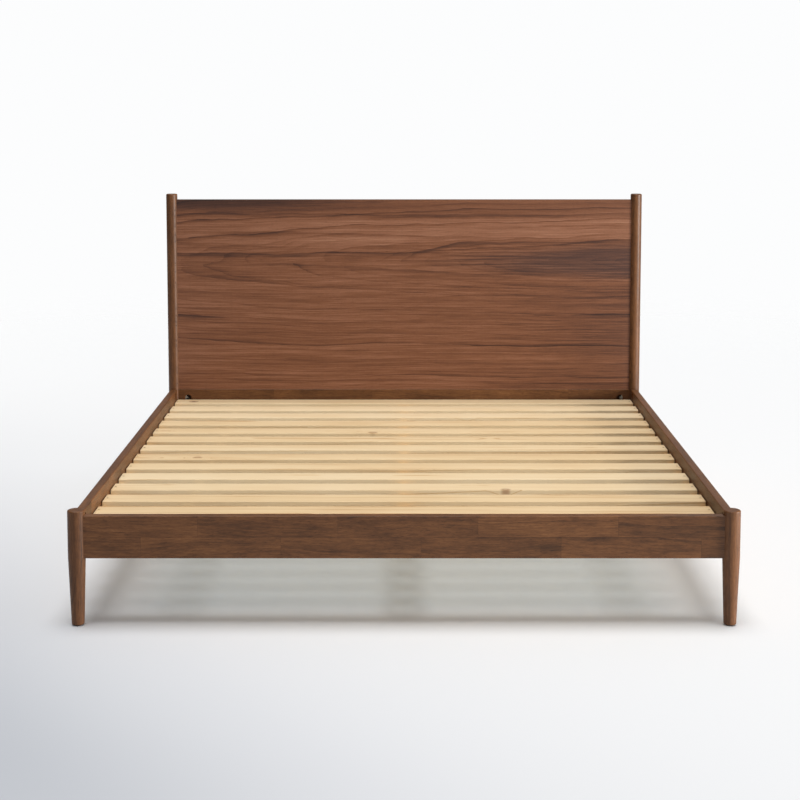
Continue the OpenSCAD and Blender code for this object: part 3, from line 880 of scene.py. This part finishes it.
def tape_piece(side, material):
    """A woven tape stapled under the slats, which hangs a little between them."""
    node = "slat_tape_" + side
    low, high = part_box(node)
    slats = [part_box(n) for n in SLATS]
    thick = (high.z - low.z) * 0.9
    sag, edge, skin_gap = 0.0018, 0.0004, 0.00003
    steps = 300
    bm = bmesh.new()
    rows = []
    for k in range(steps + 1):
        y = low.y + (high.y - low.y) * k / steps
        drop = 0.0
        for (_, below), (above, _) in zip(slats, slats[1:]):
            if below.y < y < above.y:
                drop = sag * math.sin(math.pi * (y - below.y) / (above.y - below.y)) ** 2
        top = high.z - skin_gap - drop
        section = [(low.x, top - edge), (low.x + edge, top), (high.x - edge, top), (high.x, top - edge)]
        section += [(high.x, top - thick + edge), (high.x - edge, top - thick)]
        section += [(low.x + edge, top - thick), (low.x, top - thick + edge)]
        rows.append([bm.verts.new((x, y, z)) for x, z in section])
    count = len(rows[0])
    for first, second in zip(rows, rows[1:]):
        for k in range(count):
            after = (k + 1) % count
            bm.faces.new((first[k], first[after], second[after], second[k]))
    bm.faces.new(rows[0])
    bm.faces.new(list(reversed(rows[-1])))
    tape = piece("tape_" + side, bm, "frame", material, "webbing", node)
    return tape


# ---- Floor -----------------------------------------------------------------------------

# tones of the floor from fully lit to its painted shade
FLOOR_SHADE_TONES = ((0.0, srgb(252, 252, 252)), (0.4, srgb(228, 229, 232)), (1.0, srgb(192, 195, 201)))
# painted shade: makes the floor under the bed darker and cooler
UNDER_BED_PAINTED_SHADE = (0.87, 0.95, 1.0, 1.0)  # multiplies the floor's colour there


def make_floor():
    """A pale floor that fades into the white surround, with painted shade that darkens it towards the
    left and front like a light falloff.

    Under the bed it is painted darker and cooler, as shade that cancels the warm light the pine would
    bounce onto it."""
    bm = bmesh.new()
    bmesh.ops.create_grid(bm, x_segments=8, y_segments=8, size=30.0)
    mesh = bpy.data.meshes.new("floor")
    bm.to_mesh(mesh)
    bm.free()
    floor = bpy.data.objects.new("floor", mesh)
    bpy.context.scene.collection.objects.link(floor)
    g = Graph("floor_with_painted_shade", {"Roughness": 0.9, "Specular IOR Level": 0.1})
    distance = g.math("SQRT", g.x * g.x + g.y * g.y)
    # painted shade: the floor darkens towards the left and front, standing in for light falling off
    painted_falloff_shade = g.math("SMOOTH_MIN", g.math("EXPONENT", -1.30 * g.x - 0.92 * g.y - 3.0), 1.0, 0.6)
    painted_falloff_shade = painted_falloff_shade * g.ease(distance, 4.6, 2.0)
    fine = g.noise(g.vector(g.x, g.y, g.z), 2.0, 0.5, 60.0)
    colour = g.ramp(painted_falloff_shade + fine * 0.004, FLOOR_SHADE_TONES)
    # under: the bed's footprint, where the floor gets its painted shade
    under = g.ease(g.math("ABSOLUTE", g.x), 1.0, 0.7) * g.ease(g.math("ABSOLUTE", g.y), 1.06, 0.8)
    g.finish(g.blend(under, colour, UNDER_BED_PAINTED_SHADE, "MULTIPLY"))
    gone = g.ease(distance, 3.2, 7.5)
    clear = g.tree.nodes.new("ShaderNodeBsdfTransparent")
    mix = g.tree.nodes.new("ShaderNodeMixShader")
    output = g.tree.nodes["Material Output"]
    g.put(mix.inputs[0], gone)
    g.tree.links.new(g.shader.outputs[0], mix.inputs[1])
    g.tree.links.new(clear.outputs[0], mix.inputs[2])
    g.tree.links.new(mix.outputs[0], output.inputs[0])
    mesh.materials.append(g.material)
    return floor


# ---- The bed ---------------------------------------------------------------------------

JOIN = cleanup_group()
CREASE = edge_group()


def dress_wood():
    veneer = veneer_material()
    post = walnut_material("walnut_post", "zxy", "xy")
    end_rail = walnut_material("walnut_end_rail", "xzy", "y", staves=True)
    side_rail = walnut_material("walnut_side_rail", "yzx", "x", staves=True)
    dress("headboard_panel", veneer, 0.0005)
    for node in ("head_post_left", "head_post_right", "foot_post_left", "foot_post_right"):
        dress(node, post, 0.0006)
    for node in ("head_rail", "foot_rail"):
        dress(node, end_rail, 0.0005)
    for node in ("side_rail_left", "side_rail_right"):
        dress(node, side_rail, 0.0005)
    first, beam, leg = (middle(n) for n in (SLATS[0], "centre_beam", "centre_leg_front"))
    legs_apart = middle("centre_leg_rear").y - leg.y
    across = pine_material("pine_across", "xyz", first, SLAT_PITCH)
    lengthwise = pine_material("pine_lengthwise", "yxz", beam, PANEL_HIGH.x)
    upright = pine_material("pine_upright", "zyx", leg, legs_apart)
    for node in SLATS:
        dress(node, across)
    for node in ("ledger_left", "ledger_right", "centre_beam"):
        dress(node, lengthwise, 0.0006)
    for node in ("centre_leg_front", "centre_leg_rear"):
        dress(node, upright, 0.0006)
    beech = beech_material()
    for end in ("head", "foot"):
        dress("rail_dowels_" + end, beech, 0.0008)


def dress_fittings():
    zinc = metal_material("zinc_steel", srgb(205, 208, 212), srgb(160, 165, 172), 0.34)
    bolt = metal_material("bolt_steel", srgb(190, 193, 197), srgb(140, 144, 150), 0.30)
    yellow = metal_material("screw_steel", srgb(206, 184, 124), srgb(168, 146, 92), 0.30)
    cast = metal_material("cast_zinc", srgb(176, 179, 183), srgb(132, 135, 140), 0.48, cast=True)
    nylon = nylon_material()
    webbing = webbing_material()
    for end in ("head", "foot"):
        dress("beam_hanger_" + end, zinc, 0.0006)
        dress("half_moon_washers_" + end, zinc, 0.0004)
        dress("rail_nuts_" + end, bolt, 0.0004)
        bolts_piece("rail_bolts_" + end, bolt)
        for side in ("left", "right"):
            dress("glide_" + end + "_" + side, nylon, 0.0007)
    for which in ("front", "rear"):
        dress("leg_insert_" + which, zinc, 0.0003)
        stem_piece(which, bolt)
        pad_piece(which, nylon)
    dress("centre_leg_bolts", bolt, 0.0004)
    dress("cam_locks", cast, 0.0003)
    dress("cam_bolts", bolt, 0.0004)
    dress("tape_staples", zinc, 0.00015)
    for side in ("left", "right"):
        screws_piece("slat_screws_" + side, "Z", 1, yellow, 0.038)
        screws_piece("ledger_screws_" + side, "X", 0, yellow, 0.042)
        tape_piece(side, webbing)
    screws_piece("hanger_screws", "Y", 0, yellow, 0.0244, pan=True)


make_camera()
make_lights(make_floor())
make_world()
dress_wood()
dress_fittings()
bpy.context.scene.view_settings.view_transform = "Standard"

bpy.context.view_layer.update()
